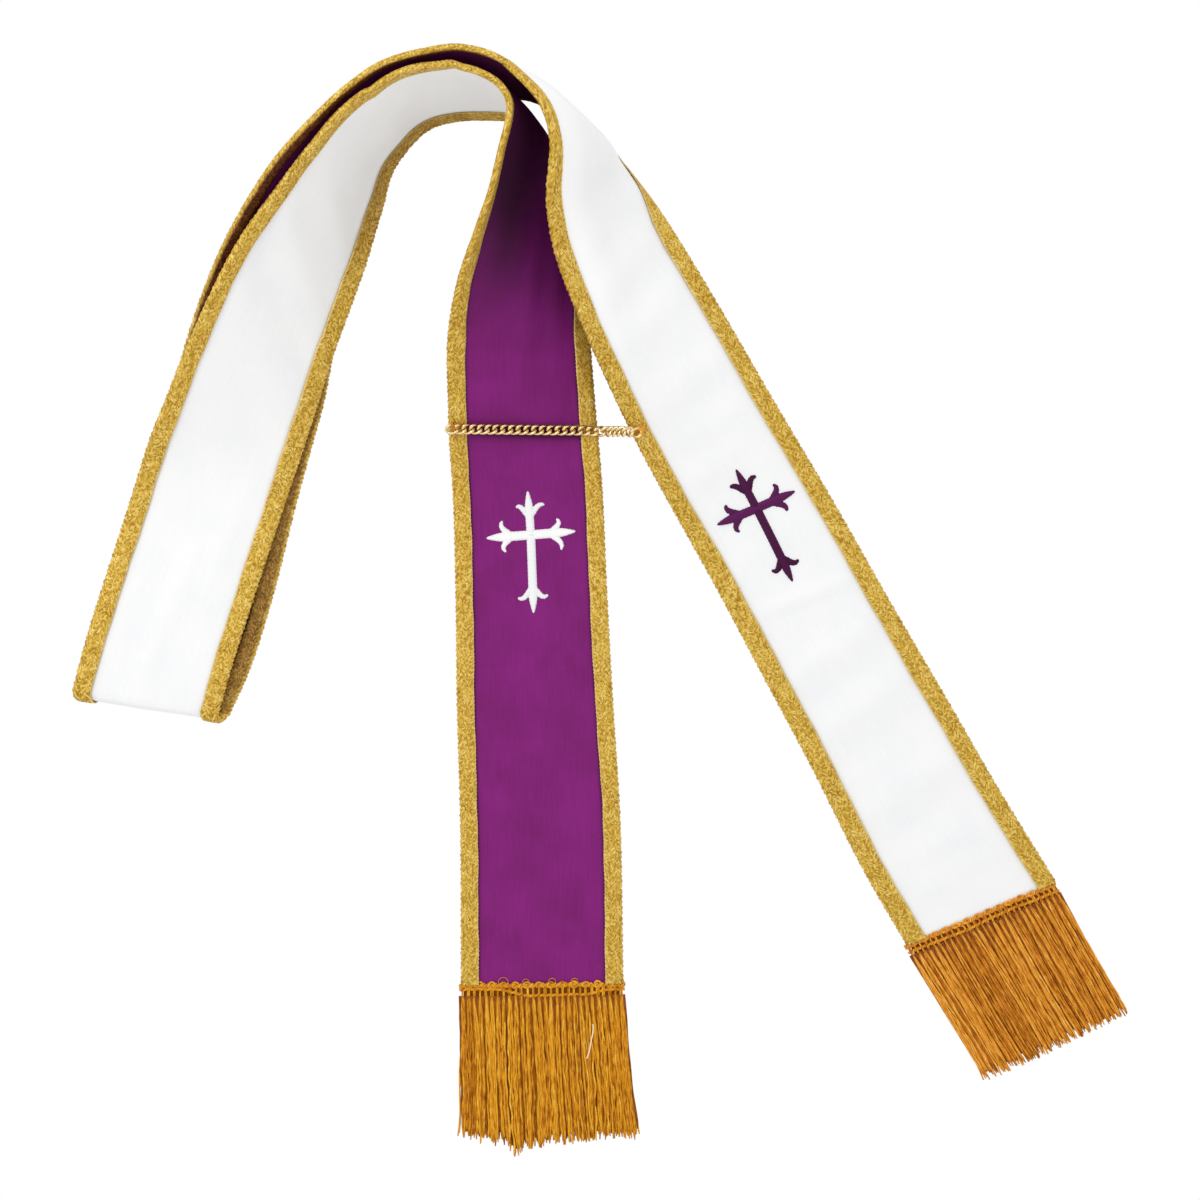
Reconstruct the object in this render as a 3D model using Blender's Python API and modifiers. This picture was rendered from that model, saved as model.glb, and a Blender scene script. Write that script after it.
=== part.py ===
# Reversible clerical stole, laid out flat on a table with its neck folded over.
# One long band: purple cloth on one side, white cloth on the other, a gold binding round
# both long edges, a cross and a fringe at each end, and a short chain between the panels.
# Metres, +Z up. Origin: middle of the footprint, on the table.
# The band stands on its right edge where it turns at the top, and lies flat elsewhere.

import math
from collections import namedtuple

import bmesh
import bpy
import numpy as np
from mathutils import Matrix, Vector

MM = 0.001

# ---- driving dimensions ----
CLOTH = 1.0 * MM                 # each face cloth
SEAM = 0.3 * MM                  # gap between touching pieces
BINDING = 1.0 * MM               # the gold tape, folded over the edge
BINDING_WIDTH = 11.0 * MM        # how far the tape reaches in from the edge
BELLY = 0.10                     # outward bow of a slanted section, as a share of its skew
LONGEST_STEP = 36.0 * MM         # along a straight stretch
CHORD_ERROR = 0.5 * MM           # allowed along a bend
TWIST_STEP = math.radians(7.0)   # most that one step may twist
DENSE_STEP = 1.0 * MM            # sampling of the smooth path
FOLD_SAMPLES = 19
FOLD_STEP = math.radians(24.0)   # step round the neck fold

FRINGE_STRANDS = 50
FRINGE_HEAD = 9.5 * MM           # depth of the looped heading
FRINGE_HEAD_HEIGHT = 4.2 * MM
FRINGE_CLEAR = 0.3 * MM          # above the table
FRINGE_OVERHANG = 0.8 * MM       # past the band at either side
STRAND_LENGTH = 93.0 * MM
STRAND_SPREAD = 5.0 * MM         # uneven cut ends
STRAND_THICK = 1.5 * MM
STRAND_RISE = 1.7 * MM           # middle of a strand above the table
STRAND_STEPS = 3

CROSS_THICK = 1.0 * MM
CROSS_CLEAR = 0.5 * MM           # the cloth bows a little under it
CROSS_ARM = 5.3 * MM

CHAIN_PITCH = 5.2 * MM
CHAIN_WIDTH = 7.0 * MM
CHAIN_WIRE = 1.45 * MM
CHAIN_TWIST = 1.25 * MM          # how far a link's corners rise and fall
CHAIN_SIDES = 14

INSIDE = SEAM / 2 + CLOTH + SEAM          # inner face of the binding, from mid-cloth
HALF = INSIDE + BINDING                   # outer face of the binding, from mid-cloth

# A row for each section across the band, from the hem to the neck.
#   x, y    the right edge, mm, on plan
#   rise    that edge above the table, mm
#   across  direction from the right edge to the left edge on plan, degrees
#   lean    0 face up, 90 standing on the right edge, 180 turned over, degrees
#   skew    how far the left edge is ahead of the right edge, mm
#   width   mm
Section = namedtuple("Section", "x y rise across lean skew width")

PURPLE_PANEL = [
    Section(14, -253, 0, 182, 0, 0, 107),
    Section(7, -67, 0, 182, 0, 0, 102),
    Section(3, 7, 0, 182, 0, 0, 99),
    Section(0, 80, 0, 182.5, 0, 0, 98),
    Section(-4, 133, 0, 183, 12, 0, 98),
    Section(-7, 173, 0, 184, 18, 0, 98),
    Section(-9, 210, 0, 186, 30, 2, 98),
    Section(-12, 243, 0, 189, 44, 6, 98),
    Section(-15, 266, 0, 197, 58, 13, 98),
    Section(-19, 278, 0.5, 208, 71, 35, 98),
    Section(-25, 290, 0.8, 222, 90, 50, 98),
]
UPPER_LIMB = [
    Section(-43, 309, 0.5, 239, 95, 32, 98),
    Section(-64, 318, 0, 260, 102, 25, 98),
    Section(-95, 317, 0, 278, 105, 17, 98),
    Section(-120, 307, 0, 305, 108, 9, 98),
    Section(-131, 294, 0, 320, 113, 5, 98),
    Section(-146, 259, 0, 325, 124, 0, 98),
    Section(-156, 225, 2, 328, 134, 2, 98),
    Section(-166, 196, 4, 331, 142, 3, 98),
    Section(-179, 159, 7, 335, 149, 0, 98),
    Section(-190, 127, 7, 338, 155, 0, 98),
    Section(-200, 97, 7, 340, 163, 0, 97),
    Section(-210, 67, 7, 341.5, 174, 0, 97),
    Section(-232, 0, 7, 341.5, 180, 0, 97),
    Section(-245, -42, 7.5, 343, 180, 0, 97),
    Section(-254, -76, 8, 351, 180, 0, 97),
]
WHITE_PANEL = [
    Section(303, -187, 0, 203, 0, 0, 107),
    Section(267, -127, 0, 208.5, 0, 0, 104),
    Section(231, -67, 0, 209, 0, 0, 100),
    Section(192, 0, 0, 210, 0, 0, 97),
    Section(154, 67, 0, 210, 0, 0, 95),
    Section(115, 133, 0, 210, 7, 0, 94),
    Section(76, 200, 0, 211, 20, 0, 94),
    Section(56, 233, 0, 212, 28, 0, 94),
    Section(35, 267, 0, 213, 35, 0, 94),
    Section(23, 283, 0, 218, 50, 17, 95),
    Section(17, 291, 0.6, 226, 68, 34, 95),
    Section(11, 298, 1, 241, 90, 58, 95),
]
LOWER_LIMB = [
    Section(-14, 317, 0.5, 240, 90, 43, 96),
    Section(-39, 331, 0.3, 242, 93, 26, 97),
    Section(-67, 334, 0, 265, 101, 18, 98),
    Section(-95, 329, 0, 278, 105, 16, 98),
    Section(-124, 319, 0, 294, 108, 10, 98),
    Section(-138, 306, 0, 308, 111, 6, 98),
    Section(-151, 283, 0, 320, 117, 3, 98),
    Section(-161, 257, 0, 325, 124, 0, 98),
    Section(-168, 225, 0, 328, 135, 2, 98),
    Section(-173, 196, 0, 332, 147, 2, 98),
    Section(-178, 165, 0, 335, 157, 2, 98),
    Section(-184, 133, 0, 340, 169, 0, 98),
    Section(-193, 100, 0, 344, 180, 0, 98),
    Section(-202, 67, 0, 345, 180, 0, 98),
    Section(-219, 0, 0, 344, 180, 0, 98),
    Section(-234, -47, 0, 345, 180, 0, 98),
    Section(-247, -76, 0.5, 351, 180, 0, 97),
]

# Half of one end of a cross, from the crossing out to the tip, mm.
#   back   distance back from the tip
#   side   distance from the arm's middle
ArmPoint = namedtuple("ArmPoint", "back side")
ARM_END = [
    ArmPoint(15.5, 2.7),
    ArmPoint(13.0, 4.2),
    ArmPoint(12.0, 6.8),
    ArmPoint(12.1, 9.6),
    ArmPoint(10.4, 10.2),
    ArmPoint(8.9, 7.6),
    ArmPoint(9.1, 4.6),
    ArmPoint(9.8, 2.5),
    ArmPoint(6.0, 2.3),
    ArmPoint(2.0, 1.2),
]
# up is the distance from the hem to the crossing, the rest are the arms' lengths, mm.
Cross = namedtuple("Cross", "up top bottom side bar_turn")
WHITE_CROSS = Cross(300, 29.3, 51.8, 29.7, 1.2)
PURPLE_CROSS = Cross(309, 28.0, 56.0, 28.0, -5.0)

COLOURS = {
    "purple_cloth": ((0.22, 0.016, 0.18), 0.62, 0.0),
    "white_cloth": ((0.86, 0.86, 0.85), 0.75, 0.0),
    "gold_tape": ((0.62, 0.40, 0.11), 0.42, 0.6),
    "gold_fringe": ((0.56, 0.27, 0.035), 0.50, 0.1),
    "white_thread": ((0.90, 0.90, 0.88), 0.45, 0.0),
    "purple_thread": ((0.12, 0.01, 0.10), 0.45, 0.0),
    "gold_chain": ((0.86, 0.58, 0.22), 0.25, 1.0),
}


def clear_scene():
    for item in list(bpy.data.objects):
        bpy.data.objects.remove(item, do_unlink=True)


def material(name):
    found = bpy.data.materials.get(name)
    if found:
        return found
    colour, roughness, metallic = COLOURS[name]
    made = bpy.data.materials.new(name)
    made.use_nodes = True
    shader = made.node_tree.nodes["Principled BSDF"]
    shader.inputs["Base Color"].default_value = (*colour, 1.0)
    shader.inputs["Roughness"].default_value = roughness
    shader.inputs["Metallic"].default_value = metallic
    made.diffuse_color = (*colour, 1.0)
    return made


def add_object(name, data, slot, parts):
    made = bpy.data.objects.new(name, data)
    data.materials.append(material(slot))
    parts.objects.link(made)
    return made


# ---- the band as a smooth surface ----

def smooth(knots, values, at):
    """Cubic curve through values given at knots; it is level where they turn back or stay."""
    step = np.diff(knots)
    slope = np.diff(values, axis=0) / step[:, None]
    tangent = np.empty_like(values)
    ahead, behind = step[1:, None], step[:-1, None]
    mean = (slope[:-1] * ahead + slope[1:] * behind) / (ahead + behind)
    tangent[1:-1] = np.where(slope[:-1] * slope[1:] > 0, mean, 0.0)
    tangent[0], tangent[-1] = slope[0], slope[-1]
    row = np.clip(np.searchsorted(knots, at, side="right") - 1, 0, len(knots) - 2)
    size = step[row][:, None]
    t = ((at - knots[row]) / step[row])[:, None]
    return ((2 * t**3 - 3 * t**2 + 1) * values[row]
            + (t**3 - 2 * t**2 + t) * size * tangent[row]
            + (3 * t**2 - 2 * t**3) * values[row + 1]
            + (t**3 - t**2) * size * tangent[row + 1])


def edges(table):
    """Left and right edges, in metres, of rows laid out as in Section."""
    x, y, rise, across, lean, skew, width = table.T
    x, y, rise, skew, width = (value * MM for value in (x, y, rise, skew, width))
    across, lean = np.radians(across), np.radians(lean)
    right = np.stack([x, y, rise + HALF * np.abs(np.cos(lean))], 1)
    sideways = np.stack([np.cos(across), np.sin(across), 0 * across], 1)
    forward = np.stack([np.sin(across), -np.cos(across), 0 * across], 1)
    left = right + sideways * (width * np.cos(lean))[:, None] + forward * skew[:, None]
    left[:, 2] += width * np.sin(lean)
    return left, right


def path_length(points):
    return np.concatenate([[0.0], np.cumsum(np.linalg.norm(np.diff(points, axis=0), axis=1))])


class Band:
    """One half of the stole: its two edges, densely sampled from the hem to the neck."""

    def __init__(self, sections):
        table = np.array(sections, float)
        left, right = edges(table)
        knots = path_length((left + right) / 2) + 0.15 * (path_length(left) + path_length(right))
        count = int(knots[-1] / DENSE_STEP)
        dense = smooth(knots, table, np.linspace(0.0, knots[-1], count))
        self.left, self.right = edges(dense)
        self.bow = dense[:, 5] * MM * BELLY
        self.width = dense[:, 6] * MM
        self.measure()

    def measure(self):
        self.middle = (self.left + self.right) / 2
        self.along = path_length(self.middle)

    def add_sections(self, left, right):
        self.left = np.vstack([self.left, left])
        self.right = np.vstack([self.right, right])
        self.bow = np.concatenate([self.bow, np.zeros(len(left))])
        self.width = np.concatenate([self.width, np.full(len(left), self.width[-1])])
        self.measure()

    def column(self, inset, lift):
        """Points at one inset from the left edge, moved out of the cloth by lift."""
        share = (inset / self.width)[:, None] if np.ndim(inset) else inset / self.width[:, None]
        base = self.left + (self.right - self.left) * share
        run = np.gradient(base, axis=0)
        out = np.cross(run, self.left - self.right)
        out /= np.linalg.norm(out, axis=1)[:, None]
        bow = self.bow[:, None] * 4 * share * (1 - share)
        return base + out * (bow + lift)

    def point(self, distance, inset, lift):
        column = self.column(inset, lift)
        return Vector([np.interp(distance, self.along, column[:, k]) for k in range(3)])

    def at(self, distance):
        return int(np.searchsorted(self.along, distance))

    def steps(self, first, last):
        """Sample numbers from first to last, closer together where the band bends or twists."""
        run = np.gradient(self.middle, axis=0)
        run /= np.linalg.norm(run, axis=1)[:, None]
        cross = self.left - self.right
        cross /= np.linalg.norm(cross, axis=1)[:, None]
        chosen = [first]
        for i in range(first + 1, last):
            start = chosen[-1]
            size = self.along[i] - self.along[start]
            bend = math.acos(min(1.0, float(run[i] @ run[start])))
            twist = math.acos(min(1.0, float(cross[i] @ cross[start])))
            tight = size * bend / 8 > CHORD_ERROR or bend > FOLD_STEP
            if tight or twist > TWIST_STEP or size > LONGEST_STEP:
                chosen.append(i)
        if chosen[-1] != last:
            chosen.append(last)
        return chosen


def fold_neck(upper, lower):
    """Sections that carry the upper limb round the neck fold, down to the lower limb."""
    start_left, start_right = upper.left[-1], upper.right[-1]
    end_left, end_right = lower.left[-1], lower.right[-1]
    heading = upper.middle[-1] - upper.middle[-2]
    heading = np.array([heading[0], heading[1], 0.0])
    heading /= np.linalg.norm(heading)
    turn = np.linspace(0.0, math.pi, FOLD_SAMPLES)[1:]
    share = (turn / math.pi)[:, None]
    radius = (start_right[2] - end_right[2]) / 2
    loop = heading * (radius * np.sin(turn))[:, None]
    drop = radius * (np.cos(turn) + 2 * share[:, 0] - 1)
    left = start_left + (end_left - start_left) * share + loop
    right = start_right + (end_right - start_right) * share + loop
    left[:, 2] += drop
    right[:, 2] += drop
    upper.add_sections(left, right)


# ---- cloth and binding ----

def swept(name, band, profile, rows, slot, thickness, parts):
    """A wall on the band; profile holds each column's inset and lift. Every quad is split
    from its lower left to its upper right, so that pieces one over the other run parallel."""
    bm = bmesh.new()
    wide = len(profile)
    bmesh.ops.create_grid(bm, x_segments=wide - 1, y_segments=len(rows) - 1, size=1.0)
    bm.verts.ensure_lookup_table()
    for i, (inset, lift) in enumerate(profile):
        column = band.column(inset, lift)
        for j, row in enumerate(rows):
            bm.verts[j * wide + i].co = Vector(column[row])
    insets = [float(np.mean(inset)) for inset, lift in profile]
    rightward, leftward = [], []
    for face in bm.faces:
        i = min(vert.index % wide for vert in face.verts)
        chosen = rightward if insets[i + 1] >= insets[i] else leftward
        chosen.append(face)
    bmesh.ops.triangulate(bm, faces=rightward, quad_method="FIXED")
    bmesh.ops.triangulate(bm, faces=leftward, quad_method="ALTERNATE")
    mesh = bpy.data.meshes.new(name)
    bm.to_mesh(mesh)
    bm.free()
    add_wall(add_object(name, mesh, slot, parts), thickness)


def add_wall(made, thickness):
    wall = made.modifiers.new("Wall", "SOLIDIFY")
    wall.thickness = thickness
    wall.offset = 1.0
    wall.use_even_offset = True


def face_cloth(name, band, rows, side, slot, parts):
    """One face of the band; side is +1 for the face that looks up on the panel, -1 below."""
    inset = BINDING + SEAM * 1.5
    places = [inset, BINDING_WIDTH, band.width / 2, band.width - BINDING_WIDTH,
              band.width - inset]
    profile = [(place, side * SEAM / 2) for place in places[::side]]
    swept(name, band, profile, rows, slot, CLOTH, parts)


def binding(name, band, rows, edge, parts):
    """Gold tape folded over one edge, from one face round to the other."""
    near, far = BINDING, BINDING_WIDTH
    if edge == "left":
        profile = [(far, -INSIDE), (near, -INSIDE), (near, INSIDE), (far, INSIDE)]
    else:
        profile = [(band.width - far, INSIDE), (band.width - near, INSIDE),
                   (band.width - near, -INSIDE), (band.width - far, -INSIDE)]
    swept(name, band, profile, rows, "gold_tape", BINDING, parts)


def stretch(name, band, first, last, up_slot, down_slot, parts):
    rows = band.steps(first, last)
    up_name = up_slot.split("_")[0]
    down_name = down_slot.split("_")[0]
    face_cloth(f"{name}_{up_name}_cloth", band, rows, 1, up_slot, parts)
    face_cloth(f"{name}_{down_name}_cloth", band, rows, -1, down_slot, parts)
    for edge in ("left", "right"):
        binding(f"{name}_{edge}_binding", band, rows, edge, parts)


# ---- fringe ----

def fringe(name, band, lean_out, parts):
    """Looped heading just past the hem, with the strands drawn out of its far side."""
    left, right = band.left[0].copy(), band.right[0].copy()
    left[2] = right[2] = 0.0
    hem = (right - left) / np.linalg.norm(right - left)
    outward = band.middle[0] - band.middle[5]
    outward[2] = 0.0
    outward /= np.linalg.norm(outward)
    length = np.linalg.norm(right - left) + 2 * FRINGE_OVERHANG
    start = left - hem * FRINGE_OVERHANG + outward * SEAM
    cells = 2 * FRINGE_STRANDS + 1
    bm = bmesh.new()
    bmesh.ops.create_grid(bm, x_segments=cells, y_segments=1, size=1.0)
    bm.verts.ensure_lookup_table()
    for vert in bm.verts:
        a = (vert.co.x + 1) / 2 * length
        b = (1 - vert.co.y) / 2 * FRINGE_HEAD
        vert.co = Vector(start + hem * a + outward * b) + Vector((0, 0, FRINGE_CLEAR))
    lower = list(bm.faces)
    raised = bmesh.ops.extrude_face_region(bm, geom=lower, use_keep_orig=True)["geom"]
    lifted = [item for item in raised if isinstance(item, bmesh.types.BMVert)]
    bmesh.ops.translate(bm, verts=lifted, vec=(0, 0, FRINGE_HEAD_HEIGHT))
    bmesh.ops.reverse_faces(bm, faces=lower)
    bmesh.ops.recalc_face_normals(bm, faces=list(bm.faces))
    out = Vector(outward)
    across = Vector(hem)
    edge_faces = [face for face in bm.faces if face.normal.dot(out) > 0.9]
    edge_faces.sort(key=lambda face: (face.calc_center_median() - Vector(start)).dot(across))
    roots = edge_faces[1::2]
    for number, root in enumerate(roots):
        share = number / (len(roots) - 1)
        draw_strand(bm, root, number, share, out, across, lean_out)
    mesh = bpy.data.meshes.new(name)
    bm.to_mesh(mesh)
    bm.free()
    add_object(name, mesh, "gold_fringe", parts)


def draw_strand(bm, root, number, share, out, across, lean_out):
    """Pull one strand out of its root face in a few steps, with a slow sway to either side."""
    uneven = math.sin(number * 2.4) + 0.6 * math.sin(number * 5.1 + 1.0)
    length = STRAND_LENGTH + STRAND_SPREAD * uneven / 1.6
    face = root
    middle = face.calc_center_median()
    for step in range(1, STRAND_STEPS + 1):
        part = step / STRAND_STEPS
        made = bmesh.ops.extrude_discrete_faces(bm, faces=[face])["faces"][0]
        sway = 0.9 * MM * math.sin(4.0 * share + 3.2 * part) * part
        fan = lean_out * part * (share - 0.5) * 2
        wave = 0.35 * MM * math.sin(number * 1.7 + 4.0 * part)
        place = middle + out * (length * part) + across * (sway + fan)
        place.z = STRAND_RISE + wave * (1 - part)
        thick = STRAND_THICK * (1.0 if step < STRAND_STEPS else 0.55)
        centre = made.calc_center_median()
        wide = max((v.co - centre).dot(across) for v in made.verts)
        tall = max((v.co - centre).z for v in made.verts)
        for vert in made.verts:
            off = vert.co - centre
            side = off.dot(across) / wide
            up = off.z / tall
            vert.co = place + across * (side * thick / 2 * 0.86) + Vector((0, 0, up * thick / 2))
        face = made


# ---- crosses ----

def cross_outline(cross):
    """Outline of a cross whose arms end in a point between two small curled leaves."""
    half = CROSS_ARM / 2 / MM
    bar = math.radians(cross.bar_turn)
    arms = [(90.0, cross.top, 0.0), (180.0, cross.side, bar), (270.0, cross.bottom, 0.0),
            (0.0, cross.side, bar)]
    outline = []
    for angle, length, extra in arms:
        turn = math.radians(angle) + extra
        ahead = np.array([math.cos(turn), math.sin(turn)])
        beside = np.array([math.sin(turn), -math.cos(turn)])
        right_side = [ahead * (length - p.back) + beside * p.side for p in ARM_END]
        left_side = [ahead * (length - p.back) - beside * p.side for p in ARM_END]
        inner = ahead * half + beside * half
        outline += [inner] + right_side + [ahead * length] + left_side[::-1]
    return outline


def applied_cross(name, band, cross, slot, parts):
    """The outline laid on the panel's upper cloth: each point is taken from the panel."""
    lift = SEAM / 2 + CLOTH + CROSS_CLEAR
    bm = bmesh.new()
    for side, up in cross_outline(cross):
        distance = (cross.up + up) * MM
        inset = np.interp(distance, band.along, band.width) / 2 + side * MM
        bm.verts.new(band.point(distance, inset, lift))
    shape = bm.faces.new(bm.verts)
    shape.normal_update()
    bmesh.ops.triangulate(bm, faces=[shape])
    mesh = bpy.data.meshes.new(name)
    bm.to_mesh(mesh)
    bm.free()
    add_wall(add_object(name, mesh, slot, parts), CROSS_THICK)


# ---- chain ----

# A row for each point that the chain passes, from the left end.
#   panel   the panel that it is over
#   up      distance from that panel's hem, mm
#   inset   from that panel's left edge, mm
#   lift    above mid-cloth, mm
#   roll    of the links about the chain, degrees
ChainPoint = namedtuple("ChainPoint", "panel up inset lift roll")
OVER_BINDING = (HALF + SEAM + CHAIN_TWIST + CHAIN_WIRE / 2) / MM + 0.4
OVER_CLOTH = OVER_BINDING - 1.0
CHAIN_PATH = [
    ChainPoint("purple", 373.2, 1.0, OVER_BINDING, 0),
    ChainPoint("purple", 372.8, 9.0, OVER_BINDING, 0),
    ChainPoint("purple", 371.0, 30.0, OVER_CLOTH, 0),
    ChainPoint("purple", 367.8, 70.0, OVER_CLOTH, 0),
    ChainPoint("purple", 366.0, 92.0, OVER_BINDING, 6),
    ChainPoint("purple", 365.0, 99.0, OVER_BINDING, 20),
    ChainPoint("white", 393.5, -1.0, OVER_BINDING - 0.6, 32),
    ChainPoint("white", 390.0, 4.5, OVER_BINDING + 0.6, 20),
]


def chain_links(purple, white, parts):
    stops = []
    for point in CHAIN_PATH:
        band = purple if point.panel == "purple" else white
        stops.append(band.point(point.up * MM, point.inset * MM, point.lift * MM))
    stops = np.array(stops)
    rolls = np.array([[point.roll] for point in CHAIN_PATH], float)
    knots = path_length(stops)
    fine = np.linspace(0.0, knots[-1], 800)
    path = smooth(knots, stops, fine)
    roll = np.interp(fine, knots, rolls[:, 0])
    along = path_length(path)
    count = int(along[-1] / CHAIN_PITCH) + 1
    for number in range(count):
        sample = min(int(np.searchsorted(along, number * CHAIN_PITCH)), len(path) - 2)
        ahead = Vector(path[sample + 1] - path[sample - 1 if sample else 0]).normalized()
        place = Vector(path[sample])
        side = Vector((0, 0, 1)).cross(ahead).normalized()
        up = ahead.cross(side)
        turned = Matrix.Rotation(math.radians(roll[sample]), 3, ahead)
        link(f"chain_link_{number + 1:02d}", place, ahead, turned @ side, turned @ up, parts)


def link(name, place, ahead, side, up, parts):
    """A twisted oval ring: its corners rise and fall in turn, so neighbours pass through."""
    long_half = (CHAIN_PITCH + CHAIN_WIRE + SEAM) / 2
    wide_half = (CHAIN_WIDTH - CHAIN_WIRE) / 2
    curve = bpy.data.curves.new(name, "CURVE")
    curve.dimensions = "3D"
    curve.bevel_depth = CHAIN_WIRE / 2
    curve.bevel_resolution = 0
    spline = curve.splines.new("POLY")
    spline.points.add(CHAIN_SIDES - 1)
    spline.use_cyclic_u = True
    for i in range(CHAIN_SIDES):
        turn = 2 * math.pi * i / CHAIN_SIDES
        point = (place + ahead * (long_half * math.cos(turn)) + side * (wide_half * math.sin(turn))
                 + up * (CHAIN_TWIST * math.sin(2 * turn)))
        spline.points[i].co = (*point, 1.0)
    add_object(name, curve, "gold_chain", parts)


def build():
    clear_scene()
    parts = bpy.data.collections.new("clerical_stole")
    bpy.context.scene.collection.children.link(parts)

    purple = Band(PURPLE_PANEL + UPPER_LIMB)
    white = Band(WHITE_PANEL + LOWER_LIMB)
    neck = len(purple.left) - 1
    fold_neck(purple, white)

    standing = Band(PURPLE_PANEL).along[-1]
    turn = purple.at(standing)
    stretch("purple_panel", purple, 0, turn, "purple_cloth", "white_cloth", parts)
    stretch("upper_limb", purple, turn + 1, len(purple.left) - 1, "purple_cloth",
            "white_cloth", parts)
    standing = Band(WHITE_PANEL).along[-1]
    turn = white.at(standing)
    last = len(white.left) - 2
    stretch("white_panel", white, 0, turn, "white_cloth", "purple_cloth", parts)
    stretch("lower_limb", white, turn + 1, last, "white_cloth", "purple_cloth", parts)

    fringe("purple_panel_fringe", purple, 3.0 * MM, parts)
    fringe("white_panel_fringe", white, 1.5 * MM, parts)
    applied_cross("white_cross", purple, WHITE_CROSS, "white_thread", parts)
    applied_cross("purple_cross", white, PURPLE_CROSS, "purple_thread", parts)
    chain_links(purple, white, parts)


build()
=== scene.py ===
import math
import random
from collections import namedtuple

import bmesh
import bpy
import numpy as np
from mathutils import Matrix, Vector


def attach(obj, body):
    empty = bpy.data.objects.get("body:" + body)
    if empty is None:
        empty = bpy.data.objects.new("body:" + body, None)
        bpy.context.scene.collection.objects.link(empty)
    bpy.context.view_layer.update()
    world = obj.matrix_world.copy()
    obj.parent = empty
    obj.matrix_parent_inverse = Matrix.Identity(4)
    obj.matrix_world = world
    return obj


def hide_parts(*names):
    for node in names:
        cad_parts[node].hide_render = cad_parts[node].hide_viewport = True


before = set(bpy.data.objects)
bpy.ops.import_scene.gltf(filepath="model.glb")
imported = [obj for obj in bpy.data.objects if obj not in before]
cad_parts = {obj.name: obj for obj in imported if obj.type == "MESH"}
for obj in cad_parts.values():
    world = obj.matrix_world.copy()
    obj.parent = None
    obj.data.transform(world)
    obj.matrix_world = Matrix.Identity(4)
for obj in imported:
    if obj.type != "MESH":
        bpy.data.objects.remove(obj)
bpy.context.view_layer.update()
mm = 0.001
uvUnit = 100  # the UV maps hold mm over this


def linearColour(hexText):
    channels = [int(hexText[i:i + 2], 16) / 255 for i in (1, 3, 5)]
    return [c / 12.92 if c <= 0.04045 else ((c + 0.055) / 1.055) ** 2.4 for c in channels] + [1.0]


def linkTo(node, links):  # to its sockets, from a socket or from another node's first one
    for socket, source in dict(links).items():
        first = source.outputs[0] if isinstance(source, bpy.types.Node) else source
        node.id_data.links.new(first, node.inputs[socket])


def addNode(tree, kind, values=(), links=(), stops=(), **settings):
    node = tree.nodes.new("ShaderNode" + kind)
    for name, value in settings.items():
        setattr(node, name, value)
    for socket, value in dict(values).items():
        value = linearColour(value) if isinstance(value, str) else value
        node.inputs[socket].default_value = value
    linkTo(node, links)
    for number, (place, colour) in enumerate(stops):
        ramp = node.color_ramp.elements
        stop = ramp[number] if number < 2 else ramp.new(place)
        stop.position, stop.color = place, linearColour(colour)
    return node


def newMaterial(name, **values):
    made = bpy.data.materials.new(name)
    made.use_nodes = True
    shader = made.node_tree.nodes["Principled BSDF"]
    for socket, value in values.items():
        shader.inputs[socket.replace("_", " ")].default_value = value
    return made, made.node_tree, shader


def repeats(across, along):  # a Mapping node's scale for cells of these sizes, mm
    return uvUnit / across, uvUnit / along, 1


# the band is a smooth surface, in the same sizes as the solids
band = {
    "half": 2.45,  # from mid-cloth to the outside of the binding, mm
    "bow": 0.10,  # how much a slanted section bows, as a share of its skew
    "dense": 1.0,  # sampling step, mm
    "edgeShare": 0.15,  # how much its edges' lengths count in the spacing of its sections
    "neckSteps": 24,  # round the neck fold
    "beyond": 150.0,  # how far it is carried on past the hem, for the fringe, mm
}
# columns: x and y of the right edge on plan, mm; rise of that edge, mm; direction across to the
# left edge, degrees; lean, 0 face up, 90 on edge, 180 turned over; skew, how far the left edge is
# ahead, mm; width, mm
purpleHalf = [
    (14.9, -254, 0, 180.6, 0, 0, 106.8),
    (12.6, -140, 0, 181.2, 0, 0, 105.2),
    (8, -67, 0, 182, 0, 0, 102.7),
    (4, 7, 0, 182, 0, 0, 99.6),
    (0.6, 80, 0, 182.5, 0, 0, 98.4),
    (-4, 133, 0, 183, 12.1, -0.1, 98),
    (-7, 173, 0, 184, 18.1, 0.2, 98),
    (-9, 210, 0, 186, 30.2, 2.4, 98),
    (-12, 243, 0, 189, 44.8, 3.7, 98),
    (-15, 266, 0, 197, 52.7, 6.4, 98),
    (-19, 278, 0.5, 208, 70.4, 32.6, 98),
    (-25, 290, 0.8, 222, 86.8, 43.7, 98),  # stands on edge: the panel ends here
    (-33, 300, 0.5, 231, 92.1, 43.2, 98),
    (-43, 311, 0.5, 239, 93.1, 45.3, 98),
    (-53.5, 317, 0.2, 250, 96.4, 42, 98),
    (-64, 320.4, 0, 259, 99.8, 37.5, 98),
    (-94, 319.8, 0, 278, 104.9, 19.3, 98),
    (-121, 308.6, 0, 305, 108, 8.9, 98),
    (-133, 294.5, 0, 320, 111.3, -8.5, 98),
    (-146, 259, 0, 325, 122.5, -2.9, 98),
    (-156, 225, 2, 328, 132.8, -2.9, 98),
    (-166, 196, 4, 331, 142, -0.9, 98),
    (-179, 159, 7, 335, 148.8, -0.2, 98),
    (-189, 127, 7, 338, 155.1, 0.3, 98),
    (-198.6, 97, 7, 340, 163, 0, 97),
    (-208.7, 67, 7, 341.5, 174, 0, 97),
    (-230.8, 0, 7, 341.5, 180, 0, 97),
    (-244.2, -42, 7.5, 343, 180, 0, 97),
    (-254, -76, 8, 351, 180, 0, 97),
]
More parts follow.
